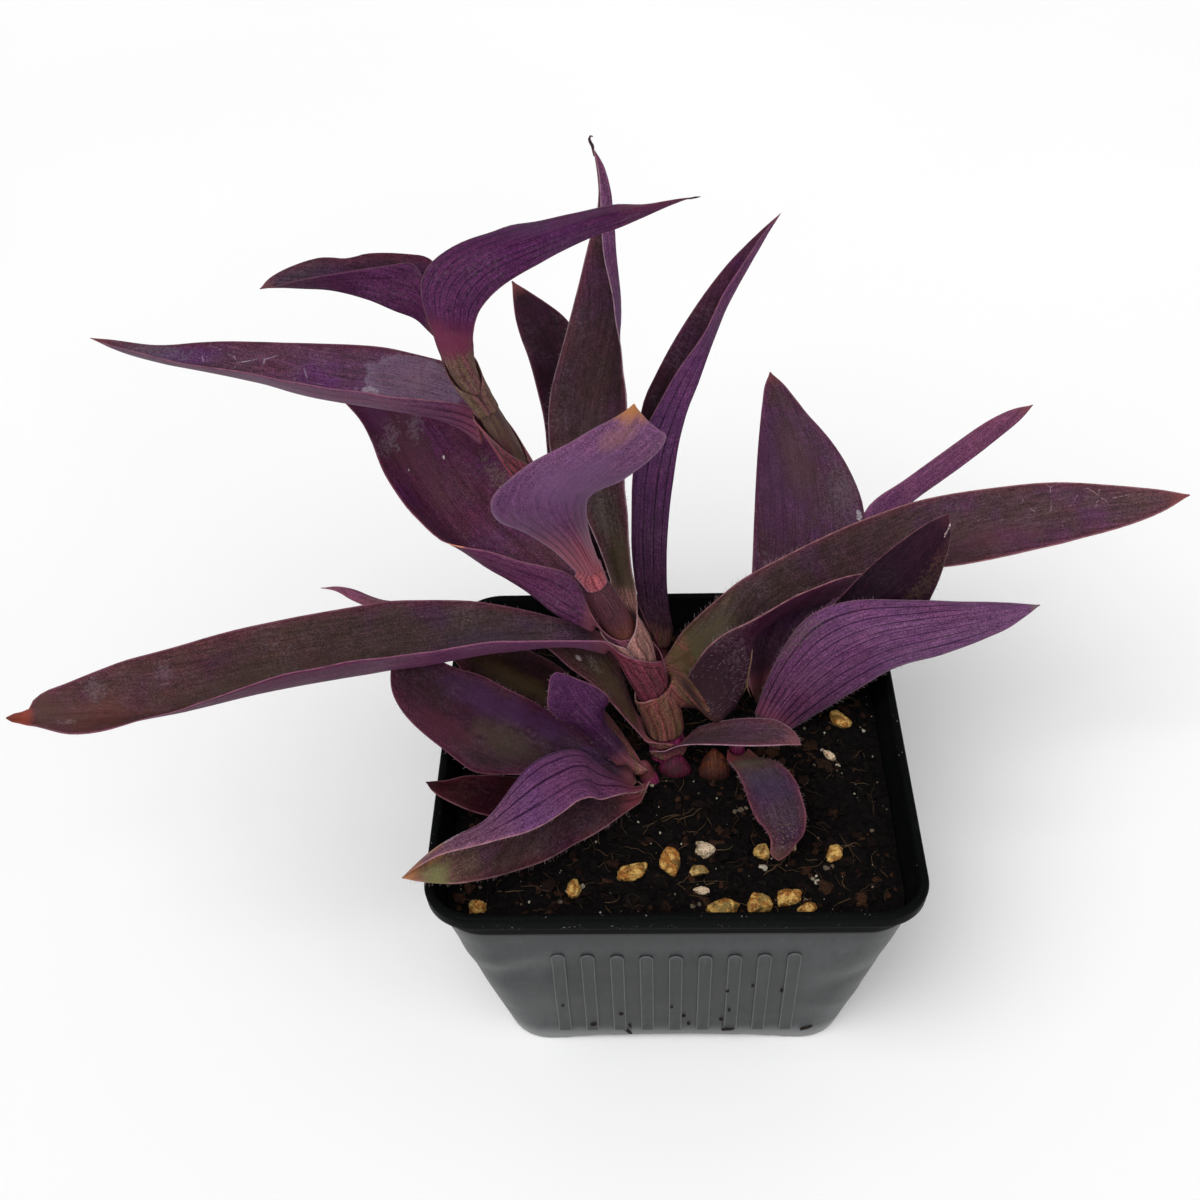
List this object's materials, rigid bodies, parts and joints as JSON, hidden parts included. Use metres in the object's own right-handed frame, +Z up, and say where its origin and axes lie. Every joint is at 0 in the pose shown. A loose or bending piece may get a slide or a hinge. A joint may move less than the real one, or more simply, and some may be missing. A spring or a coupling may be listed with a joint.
{
  "type": "potted tradescantia",
  "caption": "Young purple-leaved spiderwort with long channelled leaves on a leaning shoot, in a squat square nursery pot of gritty potting mix.",
  "frame": {"origin": "centre of the pot's flat foot, on the surface it stands on", "axes": "+Z up along the pot's axis, -Y towards the front side seen in the picture, +X to the right as seen from the front, along which the two longest leaves spread"},
  "size_m": [0.2608, 0.1597, 0.1749],
  "materials": {
    "pot_plastic": "satin",
    "potting_mix": "matte",
    "pumice": "matte",
    "shoot": "satin",
    "bud": "satin",
    "leaf_purple": "satin",
    "leaf_olive": "satin"
  },
  "bodies": {
    "root": {"bud_front_brown": "bud", "bud_front_pink": "bud", "grain_01": "pumice", "grain_02": "pumice", "grain_03": "pumice", "grain_04": "pumice", "grain_05": "pumice", "grain_06": "pumice", "grain_07": "pumice", "grain_08": "pumice", "grain_09": "pumice", "grain_10": "pumice", "grain_11": "pumice", "grain_12": "pumice", "grain_13": "pumice", "grain_14": "pumice", "grain_15": "pumice", "grain_16": "pumice", "leaf_back_left": "leaf_olive", "leaf_back_right": "leaf_olive", "leaf_broad_left": "leaf_olive", "leaf_front_upright": "leaf_purple", "leaf_long_left": "leaf_olive", "leaf_long_left_high": "leaf_olive", "leaf_long_right": "leaf_olive", "leaf_low_front_left": "leaf_olive", "leaf_low_front_small": "leaf_olive", "leaf_low_left_back": "leaf_olive", "leaf_low_left_broad": "leaf_olive", "leaf_low_left_dark": "leaf_olive", "leaf_low_left_inner": "leaf_olive", "leaf_low_left_short": "leaf_purple", "leaf_low_right_small": "leaf_olive", "leaf_right_dark": "leaf_purple", "leaf_right_narrow": "leaf_olive", "leaf_right_purple": "leaf_purple", "leaf_right_upright": "leaf_olive", "leaf_tall": "leaf_olive", "leaf_top_left": "leaf_olive", "leaf_top_right": "leaf_purple", "pot": "pot_plastic", "potting_mix": "potting_mix", "stem_back": "shoot", "stem_front": "shoot", "stem_left": "shoot", "stem_main": "shoot", "stem_right": "shoot"}
  },
  "joints": []
}
